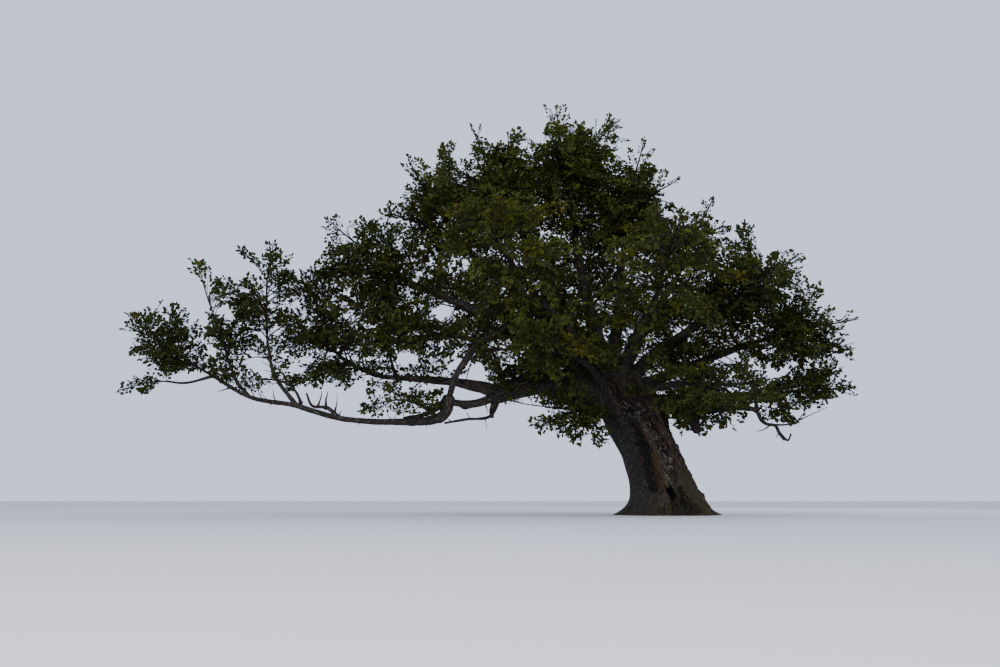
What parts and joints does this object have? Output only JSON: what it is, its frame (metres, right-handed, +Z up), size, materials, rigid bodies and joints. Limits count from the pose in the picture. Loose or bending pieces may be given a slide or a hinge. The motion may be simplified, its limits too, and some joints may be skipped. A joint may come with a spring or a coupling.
{
  "type": "beech tree",
  "caption": "Old wind-shaped broad-leaved tree with a short leaning trunk, a long sagging limb to one side and a wide layered crown.",
  "frame": {"origin": "middle of the flat cut under the trunk, at ground level", "axes": "+Z up, +X to the right as the picture shows the tree, against the wind; the long limb and the crown's tail run to -X; +Y away from the viewer"},
  "size_m": [14.9552, 7.8725, 8.5011],
  "materials": {
    "bark": "rough grey-brown bark with pale lichen",
    "dead_wood": "weathered, bare and matt",
    "leaves": "olive green, half gloss",
    "sunlit_leaves": "yellow-green, half gloss"
  },
  "bodies": {
    "root": {"trunk": "bark", "left_limb": "bark", "sagging_limb_arch": "bark", "sagging_limb_drop": "bark", "low_bough": "bark", "low_bough_end": "bark", "lower_prong": "bark", "upper_prong": "bark", "hanging_twig": "dead_wood", "dead_fork": "dead_wood", "far_tip_bough": "bark", "inner_left_bough": "bark", "left_peak_bough": "bark", "low_spray_bough": "bark", "left_rising_bough": "bark", "left_layer_bough": "bark", "upper_left_bough": "bark", "top_left_bough": "bark", "top_bough": "bark", "top_right_bough": "bark", "right_upper_bough": "bark", "right_shoulder_bough": "bark", "right_far_bough": "bark", "right_low_bough": "bark", "dead_hook_bough": "dead_wood", "hanging_stub": "dead_wood", "skirt_bough": "bark", "front_left_bough": "bark", "front_right_bough": "bark", "front_low_left_bough": "bark", "front_low_right_bough": "bark", "back_left_bough": "bark", "back_top_bough": "bark", "back_right_bough": "bark", "back_low_bough": "bark", "far_tip_leaves": "leaves", "far_left_leaves": "leaves", "inner_left_leaves": "leaves", "left_peak_leaves": "leaves", "left_hanging_leaves": "leaves", "low_spray_leaves": "leaves", "left_layer_leaves": "leaves", "left_shoulder_leaves": "leaves", "upper_left_leaves": "leaves", "top_left_leaves": "leaves", "top_leaves": "leaves", "top_right_leaves": "leaves", "right_upper_leaves": "leaves", "right_shoulder_leaves": "leaves", "right_far_leaves": "leaves", "right_low_leaves": "leaves", "skirt_leaves": "leaves", "front_left_leaves": "sunlit_leaves", "front_right_leaves": "leaves", "front_low_left_leaves": "leaves", "front_low_right_leaves": "leaves", "back_left_leaves": "leaves", "back_top_leaves": "leaves", "back_right_leaves": "leaves", "back_low_leaves": "leaves"}
  },
  "joints": []
}
